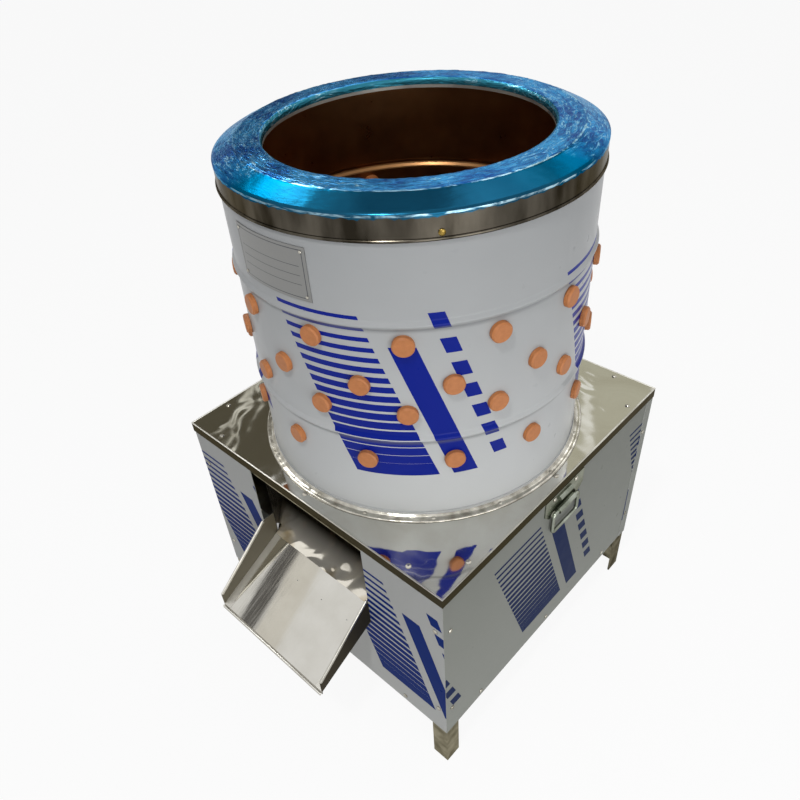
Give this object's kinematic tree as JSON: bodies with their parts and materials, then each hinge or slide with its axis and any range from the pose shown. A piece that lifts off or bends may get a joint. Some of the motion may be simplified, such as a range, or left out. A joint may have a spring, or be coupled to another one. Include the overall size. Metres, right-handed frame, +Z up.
{
  "type": "poultry plucker",
  "caption": "Drum poultry plucker: a rubber-fingered barrel over a belt-driven fingered turntable, on a square cabinet with a sloping discharge chute and drop handles.",
  "frame": {"origin": "middle of the whole machine's bounding box, on the floor", "axes": "+Z up; the discharge chute faces -Y; +X is to the right seen from the chute"},
  "size_m": [0.5792, 0.695, 0.934],
  "materials": {
    "stainless_sheet": "bright rolled stainless sheet",
    "film_covered_sheet": "steel sheet under a pale protective film",
    "rim_film": "steel ring under a wrinkled blue film",
    "orange_rubber": "matt moulded rubber",
    "angle_steel": "plain rolled angle and plate",
    "zinc_plated_steel": "zinc plated",
    "ground_steel": "ground",
    "cast_iron": "machined casting",
    "motor_paint": "machine enamel",
    "brass": "plain",
    "plate_aluminium": "satin, blank",
    "belt_rubber": "matt",
    "black_plastic": "matt moulded"
  },
  "bodies": {
    "cabinet": {"leg_front_left": "angle_steel", "leg_front_right": "angle_steel", "leg_rear_left": "angle_steel", "leg_rear_right": "angle_steel", "upper_rails": "angle_steel", "lower_rails": "angle_steel", "carrier_rails": "angle_steel", "front_panel": "film_covered_sheet", "right_panel": "film_covered_sheet", "rear_panel": "film_covered_sheet", "left_panel": "film_covered_sheet", "panel_rivets": "zinc_plated_steel", "deck": "stainless_sheet", "deck_screws": "zinc_plated_steel", "feather_pan": "stainless_sheet", "discharge_chute": "stainless_sheet", "chute_rivets": "zinc_plated_steel", "barrel": "film_covered_sheet", "foot_ring": "stainless_sheet", "foot_ring_rivets": "zinc_plated_steel", "rim_band": "stainless_sheet", "rim_screws": "brass", "rim_cover": "rim_film", "wall_fingers_row_1": "orange_rubber", "wall_fingers_row_2": "orange_rubber", "wall_fingers_row_3": "orange_rubber", "wall_fingers_row_4": "orange_rubber", "name_plate": "plate_aluminium", "name_plate_rivets": "zinc_plated_steel", "bearing_housing": "cast_iron", "upper_bearing": "ground_steel", "lower_bearing": "ground_steel", "bearing_beam": "angle_steel", "bearing_bolts": "zinc_plated_steel", "carrier_bolts": "zinc_plated_steel", "drive_belt": "belt_rubber", "motor_frame": "motor_paint", "motor_end_bell": "motor_paint", "motor_fan_cover": "motor_paint", "motor_terminal_box": "motor_paint", "motor_plate": "angle_steel", "motor_bolts": "zinc_plated_steel", "cable_gland": "black_plastic", "handle_plate_right": "zinc_plated_steel", "handle_plate_left": "zinc_plated_steel", "handle_rivets": "zinc_plated_steel"},
    "rotor": {"turntable": "stainless_sheet", "turntable_inner_fingers": "orange_rubber", "turntable_outer_fingers": "orange_rubber", "turntable_bolt": "zinc_plated_steel", "main_shaft": "ground_steel", "upper_bearing_race": "ground_steel", "lower_bearing_race": "ground_steel", "driven_pulley": "cast_iron", "driven_pulley_bolt": "zinc_plated_steel"},
    "motor_rotor": {"motor_fan": "black_plastic", "motor_shaft": "ground_steel", "motor_pulley": "cast_iron"},
    "right_bail": {"handle_bail_right": "zinc_plated_steel"},
    "left_bail": {"handle_bail_left": "zinc_plated_steel"}
  },
  "joints": [
    {"name": "turntable_spin", "type": "hinge", "parent": "cabinet", "child": "rotor", "pos_m": [0, 0.047, 0.3], "axis": [0, 0, 1], "continuous": true},
    {"name": "motor_spin", "type": "hinge", "parent": "cabinet", "child": "motor_rotor", "pos_m": [0, 0.237, 0.3], "axis": [0, 0, 1], "continuous": true},
    {"name": "right_handle_swing", "type": "hinge", "parent": "cabinet", "child": "right_bail", "pos_m": [0.2845, 0.056, 0.40872], "axis": [0, -1, 0], "range_deg": [0, 90]},
    {"name": "left_handle_swing", "type": "hinge", "parent": "cabinet", "child": "left_bail", "pos_m": [-0.2845, 0.056, 0.40872], "axis": [0, 1, 0], "range_deg": [0, 90]}
  ],
  "couplings": [
    {"joint": "motor_spin", "follows": "turntable_spin", "ratio": 4.9216}
  ]
}
